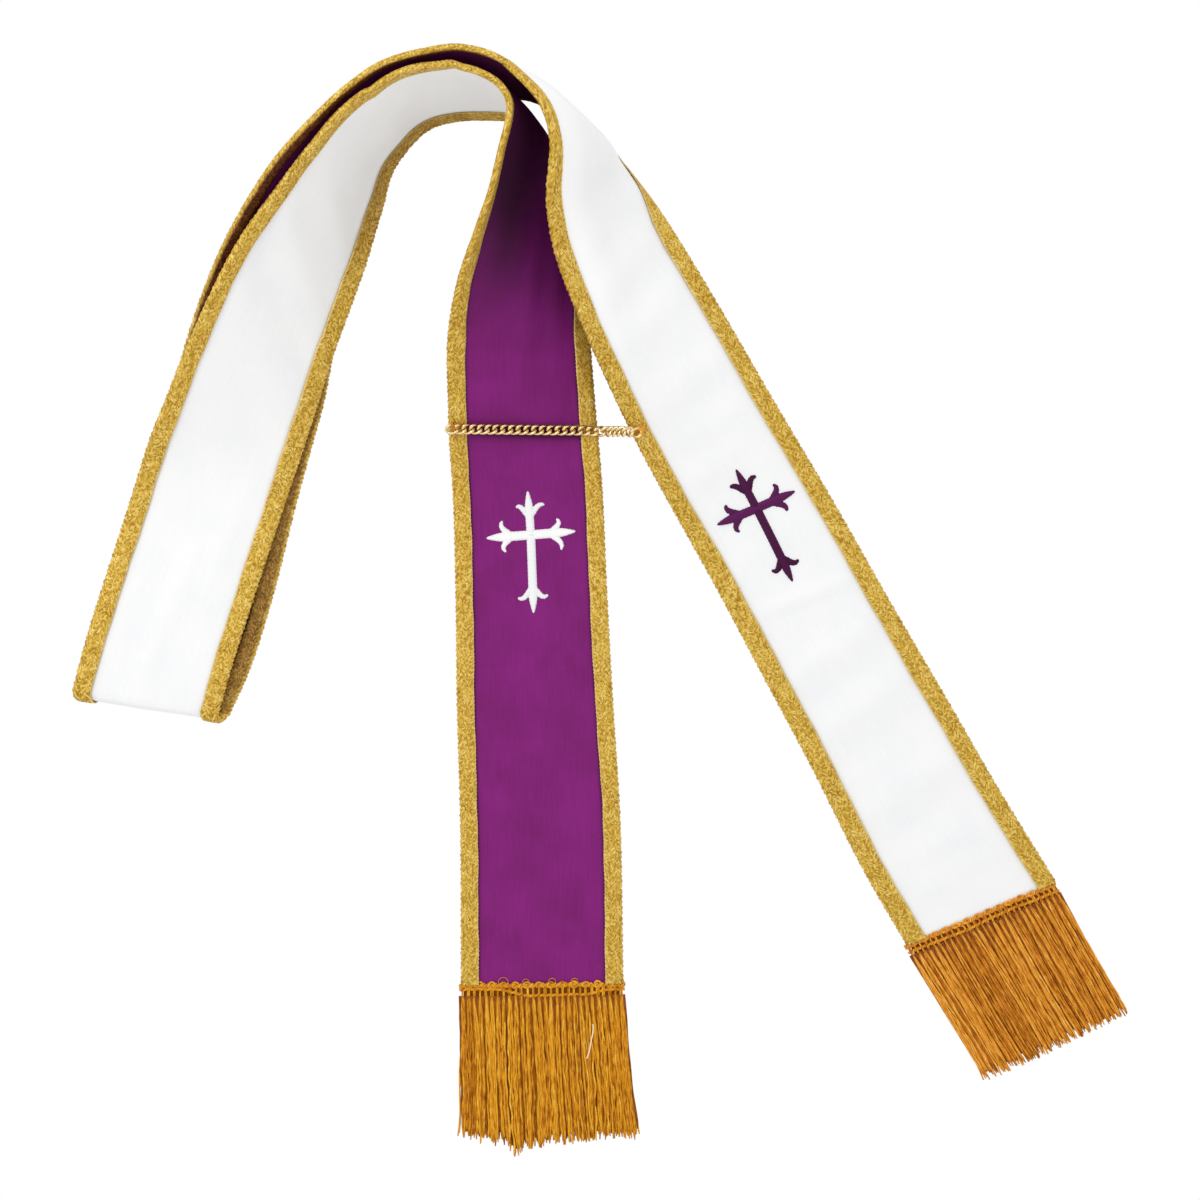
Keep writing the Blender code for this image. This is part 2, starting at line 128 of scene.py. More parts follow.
whiteHalf = [
    (302.5, -187, 0, 203, 0, 0, 106.7),
    (265.6, -127, 0, 208.3, 0, 0, 104),
    (231, -67, 0, 209, 0, 0, 100),
    (192, 0, 0, 210, 0, 0, 97),
    (154, 67, 0, 210, 0, 0, 95),
    (115, 133, 0, 210, 7, 0, 94),
    (76, 200, 0, 211, 20.1, -0.2, 94),
    (56, 233, 0, 212, 26, -6.4, 94),
    (33.5, 266.5, 0, 213, 41.8, 11.5, 94),
    (21, 282, 0, 218, 55.4, 20.1, 95),
    (13.5, 289.5, 0.6, 226, 74.5, 38.7, 95),
    (6.5, 297, 1, 241, 92.2, 65.9, 95),  # stands on edge: the panel ends here
    (-14, 317, 0.5, 240, 89.7, 54.4, 96),
    (-39, 331, 0.3, 242, 90.9, 26.3, 97),
    (-67, 334, 0, 265, 100.7, 21.9, 98),
    (-95, 329, 0, 278, 104.9, 15.1, 98),
    (-124, 319, 0, 294, 107.3, 9.4, 98),
    (-138, 306, 0, 308, 109.9, 4.5, 98),
    (-151, 283, 0, 320, 116, 2, 98),
    (-161, 257, 0, 325, 124, 2.7, 98),
    (-168, 225, 0, 328, 134.6, 2.1, 98),
    (-173, 196, 0, 332, 145, 2.7, 98),
    (-178, 165, 0, 335, 156.3, 2, 98),
    (-184, 133, 0, 340, 169, 0, 98),
    (-193, 100, 0, 344, 180, 0, 98),
    (-202, 67, 0, 345, 180, 0, 98),
    (-219, 0, 0, 344, 180, 0, 98),
    (-234, -47, 0, 345, 180, 0, 98),
    (-247, -76, 0.5, 351, 180, 0, 97),
]


def smoothTable(knots, values, at):
    step = np.diff(knots)
    slope = np.diff(values, axis=0) / step[:, None]
    tangent = np.empty_like(values)
    ahead, behind = step[1:, None], step[:-1, None]
    mean = (slope[:-1] * ahead + slope[1:] * behind) / (ahead + behind)
    tangent[1:-1] = np.where(slope[:-1] * slope[1:] > 0, mean, 0.0)
    tangent[0], tangent[-1] = slope[0], slope[-1]
    row = np.clip(np.searchsorted(knots, at, side="right") - 1, 0, len(knots) - 2)
    size = step[row][:, None]
    t = ((at - knots[row]) / step[row])[:, None]
    return ((2 * t**3 - 3 * t**2 + 1) * values[row]
            + (t**3 - 2 * t**2 + t) * size * tangent[row]
            + (3 * t**2 - 2 * t**3) * values[row + 1]
            + (t**3 - t**2) * size * tangent[row + 1])


def bandEdges(table):
    x, y, rise, across, lean, skew, width = table.T
    across, lean = np.radians(across), np.radians(lean)
    right = np.stack([x, y, rise + band["half"] * np.abs(np.cos(lean))], 1)
    sideways = np.stack([np.cos(across), np.sin(across), 0 * across], 1)
    forward = np.stack([np.sin(across), -np.cos(across), 0 * across], 1)
    left = right + sideways * (width * np.cos(lean))[:, None] + forward * skew[:, None]
    left[:, 2] += width * np.sin(lean)
    return left, right


def pathLength(points):
    return np.concatenate([[0.0], np.cumsum(np.linalg.norm(np.diff(points, axis=0), axis=1))])


def makeHalf(sections):  # all in mm, from the hem to the neck
    table = np.array(sections, float)
    left, right = bandEdges(table)
    knots = (pathLength((left + right) / 2)
             + band["edgeShare"] * (pathLength(left) + pathLength(right)))
    dense = smoothTable(knots, table, np.linspace(0, knots[-1], int(knots[-1] / band["dense"])))
    left, right = bandEdges(dense)
    return {"left": left, "right": right, "bow": dense[:, 5] * band["bow"], "width": dense[:, 6]}


def foldNeck(upper, lower):  # carries the upper limb round the neck fold to the lower one
    heading = (upper["left"] + upper["right"])[-1] - (upper["left"] + upper["right"])[-2]
    heading[2] = 0
    heading /= np.linalg.norm(heading)
    turn = np.linspace(0, math.pi, band["neckSteps"] + 1)[1:]
    share = (turn / math.pi)[:, None]
    radius = (upper["right"][-1][2] - lower["right"][-1][2]) / 2
    for edge in ("left", "right"):
        start, end = upper[edge][-1], lower[edge][-1]
        loop = start + (end - start) * share + heading * (radius * np.sin(turn))[:, None]
        loop[:, 2] += radius * (np.cos(turn) + 2 * share[:, 0] - 1)
        upper[edge] = np.vstack([upper[edge], loop])
    upper["bow"] = np.append(upper["bow"], np.zeros(len(turn)))
    upper["width"] = np.append(upper["width"], np.full(len(turn), upper["width"][-1]))


def measureHalf(half):  # adds the distance along, and carries the band on past its hem
    middle = (half["left"] + half["right"]) / 2
    along = pathLength(middle)
    back = middle[0] - middle[3]
    back /= np.linalg.norm(back)
    for edge in ("left", "right"):
        half[edge] = np.vstack([half[edge][0] + back * band["beyond"], half[edge]])
    half["bow"] = np.append(0, half["bow"])
    half["width"] = np.append(half["width"][0], half["width"])
    half["along"] = np.append(-band["beyond"], along)
    half["length"] = along[-1]


def widthAt(half, distance):
    return np.interp(distance, half["along"], half["width"])


# columns: place, mm along the band; at, share across; long and wide, mm; turn, degrees from
# straight across; high, mm out of the purple half's purple face or the white half's white one
purpleHalfCreases = [
    (40, 0.6, 50, 9, 5, 0.5),
    (120, 0.35, 60, 14, -6, 0.4),
    (215, 0.6, 70, 12, 8, 0.4),
    (330, 0.5, 70, 16, -4, 0.4),
    (420, 0.3, 9, 50, -3, 0.8),
    (455, 0.55, 7, 55, -2, 1.2),
    (474, 0.76, 6, 50, 0, 1.2),
    (512, 0.42, 6, 50, 0, 1.2),
    (640, 0.45, 60, 9, 12, 1.6),
    (664, 0.4, 50, 9, 16, -1),
    (712, 0.7, 30, 20, 30, 1.6),
    (742, 0.45, 60, 10, 34, -1.3),
    (790, 0.5, 70, 10, 36, -1.4),
    (815, 0.42, 70, 8, 36, 0.9),
    (850, 0.5, 60, 12, 30, -1),
    (918, 0.3, 60, 22, 10, 0.9),
    (985, 0.7, 7, 38, 3, -1.2),
    (1020, 0.52, 7, 36, 2, -1.2),
    (1070, 0.46, 7, 40, 0, -1.1),
    (1040, 0.24, 9, 50, 0, -0.7),
]
whiteHalfCreases = [
    (30, 0.4, 50, 8, 6, 0.75),
    (52, 0.6, 40, 9, -6, 1.2),
    (74, 0.45, 60, 9, 2, -0.9),
    (97, 0.5, 70, 11, 4, 1.8),
    (134, 0.55, 60, 10, 3, -1),
    (158, 0.45, 60, 9, 5, 1.8),
    (178, 0.5, 60, 8, 3, -0.9),
    (200, 0.5, 75, 9, 3, 1.8),
    (241, 0.48, 42, 4.5, -9, 2.2),
    (286, 0.7, 40, 14, 8, 0.9),
    (346, 0.3, 60, 10, 12, 1.5),
    (372, 0.7, 45, 9, 4, 1.4),
    (405, 0.5, 70, 13, 8, 2.1),
    (452, 0.45, 60, 12, 10, 2),
    (492, 0.55, 60, 14, 22, 2.2),
    (552, 0.6, 34, 16, 30, -3),
    (470, 0.15, 9, 60, 4, 1.4),
    (540, 0.36, 14, 60, 0, 3.8),
    (700, 0.5, 60, 14, 18, 1),
    (980, 0.45, 9, 60, 0, 0.9),
]
# columns: place, mm along; the binding's thickness there, as a share
trimThin = {
    "purple": [(470, 1), (545, 0.75), (700, 0.8), (800, 1)],
    "white": [(520, 1), (570, 0.75), (840, 0.75), (930, 1)],
}
# columns: place, mm along; how far the binding reaches over the front and the back there, mm
trimWidths = {
    "purple_left": [(430, 11, 11), (455, 9.5, 11), (482, 9.3, 11), (497, 8, 11), (518, 7.2, 11),
                    (528, 6, 11), (545, 4.5, 10), (600, 4.5, 7), (640, 9, 9.5), (700, 11, 9.3),
                    (820, 11, 9.3), (880, 11, 11), (940, 11, 12.2)],
    "purple_right": [(0, 11, 11), (600, 11, 9), (650, 11, 9.5), (700, 11, 11), (760, 11, 12.8),
                     (890, 11, 13.2), (960, 11, 11.5)],
    "white_left": [(0, 12.9, 11), (280, 12.7, 11), (340, 11.4, 11), (500, 11, 11), (545, 9.5, 9),
                   (575, 6, 7), (640, 6, 6), (760, 8, 7.5), (850, 11, 8.5), (900, 11, 11)],
    "white_right": [(0, 11.8, 11), (150, 12.3, 11), (240, 11.6, 11), (420, 11.8, 11),
                    (460, 12.3, 11), (487, 12.6, 11), (507, 11.5, 11), (525, 8.5, 8), (540, 4, 5),
                    (560, 2.3, 3), (650, 2.3, 3), (700, 11, 11)],
}
# columns: place, mm along; mm that the lower edge curls out to lie flat; mm that the upper edge
# bends back
purpleHalfBends = [(430, 0, 0), (500, 0, -2.2), (560, 0, -2), (600, 1, 0), (650, 2.5, 0),
                   (690, 4, 0), (740, 4.5, 0), (840, 0, 0)]
whiteHalfBends = [(450, 0, 0), (500, 0, 1.5), (560, 2, 2.5), (600, 3, 1), (650, 0, 0)]
creasing = {
    "flat": 9, "ease": 13,  # beside each edge: mm without creases, and mm over which they grow
    "drift": 0.16,  # height of the cloth's slow unevenness, mm
    "bend": 12,  # reach of an edge's bend into the cloth, mm
}


def spots(rows, width, distance, inset):
    total = np.zeros_like(distance)
    for place, at, long, wide, turn, high in rows:
        turn = math.radians(turn)
        side, ahead = inset - at * width, distance - place
        a = (side * math.cos(turn) + ahead * math.sin(turn)) / long
        b = (ahead * math.cos(turn) - side * math.sin(turn)) / wide
        total += high * np.exp(-a * a - b * b)
    return total


def shapeLift(half, distance, inset):  # mm out of the ruled band: creases, and its edges' bends
    width = widthAt(half, distance)
    ease, bend = creasing["ease"], creasing["bend"]
    fade = np.clip(np.minimum(inset, width - inset) - creasing["flat"], 0, ease) / ease
    slow = np.sin(distance / 21 + inset / 33) * np.sin(distance / 57 + inset / 20)
    slow *= creasing["drift"]
    lift = (spots(half["creases"], width, distance, inset) + slow) * fade * fade * (3 - 2 * fade)
    places, lower, upper = np.array(half["bends"]).T
    for table, near in ((lower, (width - inset) / bend), (upper, inset / bend)):
        lift += np.interp(distance, places, table) * near * np.exp(1 - np.clip(near, 0, 20))
    return lift


def onBand(half, distance, inset, lift):
    # points in metres at distances from the hem, insets from the left edge and lifts, all mm
    distance, inset, lift = np.broadcast_arrays(np.asarray(distance, float), inset, lift)

    def onMiddle(place):
        left, right = (np.stack([np.interp(place, half["along"], half[edge][:, k])
                                 for k in range(3)], -1) for edge in ("left", "right"))
        share = inset / widthAt(half, place)
        return left + (right - left) * share[..., None], left - right, share

    reach = 0.6  # mm each way, for the slope
    place, across, share = onMiddle(np.minimum(distance, half["length"]))
    run = onMiddle(np.minimum(distance + reach, half["length"]))[0] - onMiddle(distance - reach)[0]
    out = np.cross(run, across)
    out /= np.linalg.norm(out, axis=-1)[..., None]
    bow = np.interp(distance, half["along"], half["bow"]) * 4 * share * (1 - share)
    return (place + out * (bow + shapeLift(half, distance, inset) + lift)[..., None]) * mm


halves = {"purple": makeHalf(purpleHalf), "white": makeHalf(whiteHalf)}
foldNeck(halves["purple"], halves["white"])
for half in halves.values():
    measureHalf(half)
halves["purple"].update(name="purple", creases=purpleHalfCreases, bends=purpleHalfBends,
                        closer=np.arange(357, 381, 1.2))
halves["white"].update(name="white", creases=whiteHalfCreases, bends=whiteHalfBends, closer=[])
print("band", {name: round(half["length"]) for name, half in halves.items()})


def trimReach(half, edge, side, distance):
    places, front, back = np.array(trimWidths[half["name"] + "_" + edge]).T
    return np.interp(distance, places, front if side > 0 else back)


def addObject(name, data):
    made = bpy.data.objects.new(name, data)
    bpy.context.scene.collection.objects.link(made)
    return made


def addPiece(name, mesh, material, nodes, wall=None, offset=0):
    made = addObject(name, mesh)
    mesh.materials.append(material)
    for face in mesh.polygons:
        face.use_smooth = True
    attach(made, "root")
    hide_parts(*nodes)
    if wall:
        solid = made.modifiers.new("Wall", "SOLIDIFY")
        solid.thickness, solid.offset = wall * mm, offset
    return made


def gridMesh(name, places, across, along):
    # places[row][column]; the UV map holds across and along, which are in mm
    rows, wide = places.shape[:2]
    bm = bmesh.new()
    bmesh.ops.create_grid(bm, x_segments=wide - 1, y_segments=rows - 1, size=1.0)
    mesh = bpy.data.meshes.new(name)
    bm.to_mesh(mesh)
    bm.free()
    mesh.vertices.foreach_set("co", places.reshape(-1))
    uv = mesh.uv_layers.new(name="cloth")
    corners = np.zeros(len(mesh.loops), int)
    mesh.loops.foreach_get("vertex_index", corners)
    flat = np.stack([across.reshape(-1), along.reshape(-1)], 1) / uvUnit
    uv.data.foreach_set("uv", flat[corners].astype(np.float32).reshape(-1))
    mesh.update()
    return mesh


cloth = {
    "wall": 0.85,  # mm
    "apart": 0.15,  # of each face from mid-cloth, mm
    "inset": 1.5,  # of the cloth's edge from the binding's edge, mm
    "columns": 22,  # between the bindings
    "step": 3.5,  # between rows, mm
    "hem": 1.4,  # under the fringe's heading, mm
    "seamShade": 0.6,  # how dark the painted shade right beside the binding is, with the seam thread's darker colour
    "seamReach": 1.2,  # how far that goes, mm
}
# painted shade and painted light on a half and one of its faces; columns as for a crease, but high
# is how far the colour is darkened, 0 to 1, painted shade deep between the layers, where the cloth
# turns away and under the chain, or lightened, 0 to -1, painted light
paintedClothLightAndShade = {
    ("purple", "purple"): [
        (700, 0.5, 200, 85, 0, 1.0),
        (543, 0.25, 38, 50, 0, 1.2),
        (490, 0.33, 13, 26, 0, 0.27),
        (472, 0.5, 90, 32, 0, 0.28),
        # painted shadow under the chain, darkest along its lower edge
        (367.4, 0.5, 46, 3.8, -4.8, 1.3),
        # painted light: a paler patch where the cloth stands in shade
        (565, 0.85, 40, 42, 0, -0.9),
    ],
    ("purple", "white"): [(650, 0.6, 90, 110, 0, -0.5)],
    ("white", "white"): [(535, 0.14, 15, 70, 0, -0.8)],
    ("white", "purple"): [(850, 0.5, 200, 200, 0, 0.5), (625, 0.3, 60, 45, 0, -0.9)],
}


def addNumbers(mesh, name, values):
    mesh.attributes.new(name, "FLOAT", "POINT").data.foreach_set(
        "value", np.asarray(values, np.float32).reshape(-1))


def clothColumns():  # shares across, closer together beside the bindings
    near = np.array([0, 0.03, 0.055, 0.075, 0.09, 0.1, 0.11, 0.12, 0.13])
    return np.concatenate([near, np.linspace(0.15, 0.85, cloth["columns"]), 1 - near[::-1]])


def faceCloth(name, colour, tones, material):
    half, side = halves[name], 1 if name == colour else -1
    rows = np.linspace(-cloth["hem"], half["length"], int(half["length"] / cloth["step"]))
    rows = np.sort(np.append(rows, half["closer"]))  # closer together under the chain, for its painted shadow
    distance, share = np.meshgrid(rows, clothColumns(), indexing="ij")
    if side < 0:
        share = share[:, ::-1]
    width = widthAt(half, distance)
    inset = cloth["inset"] + share * (width - 2 * cloth["inset"])
    title = f"{colour}_face_of_{name}_half"
    mesh = gridMesh(title, onBand(half, distance, inset, side * cloth["apart"]), inset, distance)
    # painted shade beside the bindings, with the seam thread's darker colour, goes into the same
    # attribute
    toTrim = np.minimum(inset - trimReach(half, "left", side, distance),
                        width - inset - trimReach(half, "right", side, distance))
    seam = cloth["seamShade"] * np.exp(-(toTrim / cloth["seamReach"]) ** 2)
    addNumbers(mesh, "painted_shade_and_light", np.clip(spots(tones, width, distance, inset) + seam, -1, 1))
    nodes = [f"{name}_panel_{colour}_cloth", f"{limbs[name]}_{colour}_cloth"]
    return addPiece(title, mesh, material, nodes, cloth["wall"], 1)


def clothMaterial(name, colours, roughness, gloss, share):
    # woven polyester with a dull shine: slubs 1.5 mm wide run down the cloth for 22 mm, and its
    # weave is drawn at 0.9 mm, three times its real size, because a finer one doesn't show;
    # colours: two of the cloth's own, then the painted shade colour, then the painted light colour
    made, tree, shader = newMaterial(name, Roughness=roughness, Specular_IOR_Level=gloss)
    uv = addNode(tree, "UVMap", uv_map="cloth")
    slubs = addNode(tree, "Mapping", {"Scale": repeats(1.515, 22.2)}, {"Vector": uv})
    slubNoise = addNode(tree, "TexNoise", {"Scale": 1.0, "Detail": 2.0, "Roughness": 0.55},
                        {"Vector": slubs})
    cloud = addNode(tree, "TexNoise", {"Scale": uvUnit / 32.3, "Detail": 4.0}, {"Vector": uv})
    both = addNode(tree, "Mix", {0: 0.65}, {2: slubNoise, 3: cloud})
    spread = addNode(tree, "MapRange", {1: 0.36, 2: 0.64, 3: 0.0, 4: share}, {0: both})
    woven = addNode(tree, "Mix", {6: colours[0], 7: colours[1]},
                    {0: spread}, data_type="RGBA").outputs[2]
    # the attribute mixes in painted shade above zero and painted light below it
    painted_shade_and_light = addNode(tree, "Attribute", attribute_name="painted_shade_and_light").outputs["Fac"]
    colour = addNode(tree, "Mix", {7: colours[2]}, {0: painted_shade_and_light, 6: woven}, data_type="RGBA").outputs[2]
    paintedLight = addNode(tree, "MapRange", {1: 0.0, 2: -1.0, 3: 0.0, 4: 1.0}, {0: painted_shade_and_light})
    bright = addNode(tree, "Mix", {7: colours[3]}, {0: paintedLight, 6: colour},
                     data_type="RGBA").outputs[2]
    weave = addNode(tree, "Mapping", {"Scale": repeats(0.909, 0.909)}, {"Vector": uv})
    threads = addNode(tree, "TexNoise", {"Scale": 1.0, "Detail": 1.0}, {"Vector": weave})
    height = addNode(tree, "Math", {}, {0: threads, 1: slubNoise})
    bump = addNode(tree, "Bump", {"Strength": 0.3, "Distance": 0.0003}, {"Height": height})
    linkTo(shader, {"Base Color": bright, "Normal": bump})
    return made


limbs = {"purple": "upper_limb", "white": "lower_limb"}  # what each half's panel runs on into
weaves = {
    "purple": clothMaterial("purple polyester weave",
                            ("#821f77", "#701961", "#370e2e", "#c25aa0"), 0.6, 0.12, 0.8),
    "white": clothMaterial("white polyester weave",
                           ("#f2f2f2", "#ebecee", "#e4dccb", "#ffffff"), 0.7, 0.15, 0.7),
}
sheets = [faceCloth(name, colour, tones, weaves[colour])
          for (name, colour), tones in paintedClothLightAndShade.items()]
print("cloth")

binding = {
    "half": 2.1,  # from mid-cloth to its outside, mm
    "wide": 11,  # over each face, before trimWidths stretches it, mm
    "wall": 0.7,
    "step": 1.1,  # between rows, mm
    "flatColumns": 8,  # on each face
    "foldColumns": 7,
    "bump": 0.4,  # how far its plait stands out at the fold, mm
    "plait": 3.4,  # mm along the edge from one bump to the next
    "wander": 0.17,  # how unevenly its inner edge was sewn, mm
    "seam": 3,  # width sewn down at its inner edge, mm
    "sunk": 0.16,  # how far that is drawn in, as a share of its height
    "tuck": 0.7,  # how far a thinned fold moves in, mm
}
# painted shade on the bindings, where they lie deep between the layers; columns: place and long, mm
# along; side,
# 1 or -1 for the face it is on; start, mm in from the edge; how far its colour is darkened, 0 to 1
paintedTrimShade = {
    "purple_left": [(700, 150, 1, 3, 0.8)],
    "purple_right": [(500, 62, 1, 0, 0.8), (690, 72, -1, 0, 0.43)],
    "white_left": [(715, 75, -1, 1.5, 0.97), (850, 120, -1, 0.5, 1)],
    "white_right": [(1040, 180, -1, 0.3, 0.7), (600, 70, -1, 0, 0.9)],
}


def bindingEdge(name, edge, material):
    half, title = halves[name], f"{edge}_binding_of_{name}_half"
    rows = int(half["length"] / binding["step"])
    distance = np.linspace(-cloth["hem"], half["length"], rows)[:, None]
    outer, wide, seam = binding["half"], binding["wide"], binding["seam"]
    fold = np.linspace(0.5, 1.5, binding["foldColumns"]) * math.pi
    flat = np.linspace(wide, outer, binding["flatColumns"] + 1)[:-1]
    insets = np.concatenate([flat, outer + outer * np.cos(fold), flat[::-1]])[None, :]
    lifts = np.concatenate([np.full(len(flat), outer), outer * np.sin(fold),
                            np.full(len(flat), -outer)])[None, :]
    reach = np.where(lifts > 0, trimReach(half, edge, 1, distance),
                     trimReach(half, edge, -1, distance))
    around = pathLength(np.stack([insets[0], lifts[0]], 1))[None, :]
    turns = distance / binding["plait"] * 2 * math.pi
    plaited = binding["bump"] * (np.sin(turns + 2.2 * np.sin(distance / 13))
                                 + 0.4 * np.sin(turns * 0.37))
    wander = binding["wander"] * (np.sin(distance / 11) + 0.8 * np.sin(distance / 4.3 + 2)
                                  + 0.8 * np.sin(distance / 31 + 1))
    atFold = np.clip(1 - insets / outer, 0, 1)
    atSeam = np.clip((insets - wide + seam) / seam, 0, 1)
    spread = outer + (insets - outer) * (reach - outer) / (wide - outer)
    inset = np.where(insets > outer, spread, insets)
    inset = inset - plaited * atFold + (wander + 0.25 * np.sin(turns * 1.3)) * atSeam
    thin = np.interp(distance, *zip(*trimThin[name]))
    lift = lifts * (1 - binding["sunk"] * atSeam) * thin
    inset = np.where(insets < outer, inset * thin + binding["tuck"] * (1 - thin), inset)
    # painted shade: the binding's colour darkened where it lies between the layers
    paintedShade = np.zeros_like(inset)
    for place, long, side, start, tone in paintedTrimShade[f"{name}_{edge}"]:
        onSide = np.clip(2 * side * lifts / outer + 0.4, 0, 1)
        onSide = onSide * np.clip((insets - start) / 1.5, 0, 1)
        paintedShade += tone * onSide * np.exp(-((distance - place) / long) ** 4)
    places = distance + 0 * inset
    if edge == "right":
        inset, paintedShade = (widthAt(half, distance) - inset)[:, ::-1], paintedShade[:, ::-1]
        lift, around = lift[:, ::-1], around[:, ::-1]
    mesh = gridMesh(title, onBand(half, places, inset, lift), around + 0 * places, places)
    addNumbers(mesh, "painted_shade_and_light", np.clip(paintedShade, 0, 1))
    nodes = [f"{name}_panel_{edge}_binding", f"{limbs[name]}_{edge}_binding"]
    return addPiece(title, mesh, material, nodes, binding["wall"], -1)


def braidMaterial():
    # lurex galloon: metallised film wound on yarn and plaited in a zigzag with legs of 4 mm, so it
    # glitters in flecks; the flecks of colour are the braid's speckle and partly painted glint;
    # they are drawn at 0.8 x 1 mm, nearly twice their real size, to show
    made, tree, shader = newMaterial("gold lurex galloon", Metallic=0.3, Roughness=0.45,
                                     Specular_IOR_Level=0.3)
    uv = addNode(tree, "UVMap", uv_map="cloth")
    parts = addNode(tree, "SeparateXYZ", {}, {0: uv}).outputs
    legs = addNode(tree, "Math", {1: 4.07 / uvUnit}, {0: parts[0]}, operation="PINGPONG")
    slanted = addNode(tree, "Math", {1: 0.9}, {0: legs, 2: parts[1]}, operation="MULTIPLY_ADD")
    zigzag = addNode(tree, "CombineXYZ", {}, {0: parts[0], 1: slanted})
    laid = addNode(tree, "Mapping", {"Scale": repeats(0.8333, 1.0526)}, {"Vector": zigzag})
    cells = addNode(tree, "TexVoronoi", {"Scale": 1.0}, {"Vector": laid}, voronoi_dimensions="2D")
    fleck = addNode(tree, "SeparateColor", {}, {0: cells.outputs["Color"]})
    cloud = addNode(tree, "TexNoise", {"Scale": uvUnit / 11.11, "Detail": 3.0}, {"Vector": uv})
    both = addNode(tree, "Mix", {0: 0.35}, {2: fleck, 3: cloud})
    gold = addNode(tree, "ValToRGB", {}, {0: both}, (
        (0.0, "#74520e"), (1.0, "#f9e8a8"), (0.22, "#a67b1d"), (0.45, "#c79e34"),
        (0.66, "#dab54c"), (0.82, "#e9cc72")))
    # the last thread at either edge is drawn pale, a painted highlight where it catches the light,
    # and 24.4 mm of tape lies between them
    toEdge = addNode(tree, "Math", {1: 12.2 / uvUnit}, {0: parts[0]}, operation="PINGPONG")
    edgeHighlight = addNode(tree, "MapRange", {1: 0.4 / uvUnit, 2: 0.8 / uvUnit, 3: 0.55, 4: 0.0},
                      {0: toEdge})
    gold = addNode(tree, "Mix", {7: "#f0d890"}, {0: edgeHighlight, 6: gold}, data_type="RGBA").outputs[2]
    # painted shade: the braid turns dark brown where the attribute says
    painted_shade_and_light = addNode(tree, "Attribute", attribute_name="painted_shade_and_light").outputs["Fac"]
    shadeBrown = addNode(tree, "ValToRGB", {}, {0: both}, (
        (0.0, "#240b05"), (1.0, "#a0622a"), (0.5, "#5a2c12")))
    colour = addNode(tree, "Mix", {}, {0: painted_shade_and_light, 6: gold, 7: shadeBrown}, data_type="RGBA").outputs[2]
    bump = addNode(tree, "Bump", {"Strength": 0.5, "Distance": 0.0005}, {"Height": fleck})
    linkTo(shader, {"Base Color": colour, "Normal": bump})
    return made


goldBraid = braidMaterial()
bindings = [bindingEdge(name, edge, goldBraid) for name in halves for edge in ("left", "right")]
print("binding")


def tubeMesh(name, paths, radius, sides, cyclic=False):
    # a tube along each list of points, joined; its tone is one number or one for each point
    curve = bpy.data.curves.new(name, "CURVE")
    curve.dimensions = "3D"
    curve.bevel_depth = radius * mm
    curve.bevel_resolution = (sides - 4) // 2
    tones, alongs = [], []
    for path in paths:
        points = path["points"]
        spline = curve.splines.new("POLY")
        spline.points.add(len(points) - 1)
        spline.use_cyclic_u = cyclic
        flat = np.concatenate([points, np.ones((len(points), 1))], 1)
        spline.points.foreach_set("co", flat.astype(np.float32).reshape(-1))
        if "radii" in path:
            spline.points.foreach_set("radius", np.asarray(path["radii"], np.float32))
        tones.append(np.repeat(path["tone"] + np.zeros(len(points)), sides))
        patternStart = 37 * len(tones)  # so that no two threads are dyed alike
        alongs.append(np.repeat(pathLength(points) / mm + patternStart, sides))
    holder = addObject(name, curve)
    graph = bpy.context.evaluated_depsgraph_get()
    mesh = bpy.data.meshes.new_from_object(holder.evaluated_get(graph))
    mesh.name = name
    bpy.data.objects.remove(holder)
    bpy.data.curves.remove(curve)
    addNumbers(mesh, "tone", np.concatenate(tones))
    addNumbers(mesh, "along", np.concatenate(alongs))
    bm = bmesh.new()
    bm.from_mesh(mesh)
    if not cyclic:
        bmesh.ops.holes_fill(bm, edges=[edge for edge in bm.edges if edge.is_boundary], sides=sides)
    bmesh.ops.recalc_face_normals(bm, faces=list(bm.faces))
    bm.to_mesh(mesh)
    bm.free()
    return mesh


fringe = {
    "under": 11, "over": 10,  # threads in each tuft
    "length": 93.0,  # mm
    "underLength": (0.92, 0.99), "overLength": (0.955, 1.03),  # shares of that
    "underThread": 0.8, "overThread": 0.64,  # radius, mm
    "underHeight": (0.65, 1.1), "overHeight": (1.7, 3.9),  # above the table, mm
    # underTone sits below overTone: the threads underneath get painted shade
    "underTone": (0.06, 0.42), "overTone": (0.28, 0.74),
    "waves": (0.12, 0.4),  # radians a mm
    "points": 29,  # along a thread
    "top": 3.2, "ease": 15,  # its height at the heading, and how far on it settles, mm
    "stray": 0.5,  # radius of a loose thread, mm
    "head": 9.4,  # depth of the crocheted heading, mm
    "cord": 0.68, "picot": 0.36,  # radius of its cords, and share of that in a loose loop
    "postTop": -1.5, "post": 8.6,  # where its posts start, and their length, mm
    "scallop": 2.2,  # half-width of its scallops, mm
    "shadeBacking": 0.4,  # thickness of the dark backing behind it, painted shade, mm
    "shadeBackingReach": (-26, -0.6),  # mm from the hem
    "pitch": 3.9,  # between tufts, mm
    "shine": 7.143,  # mm along a thread from light to dark
}


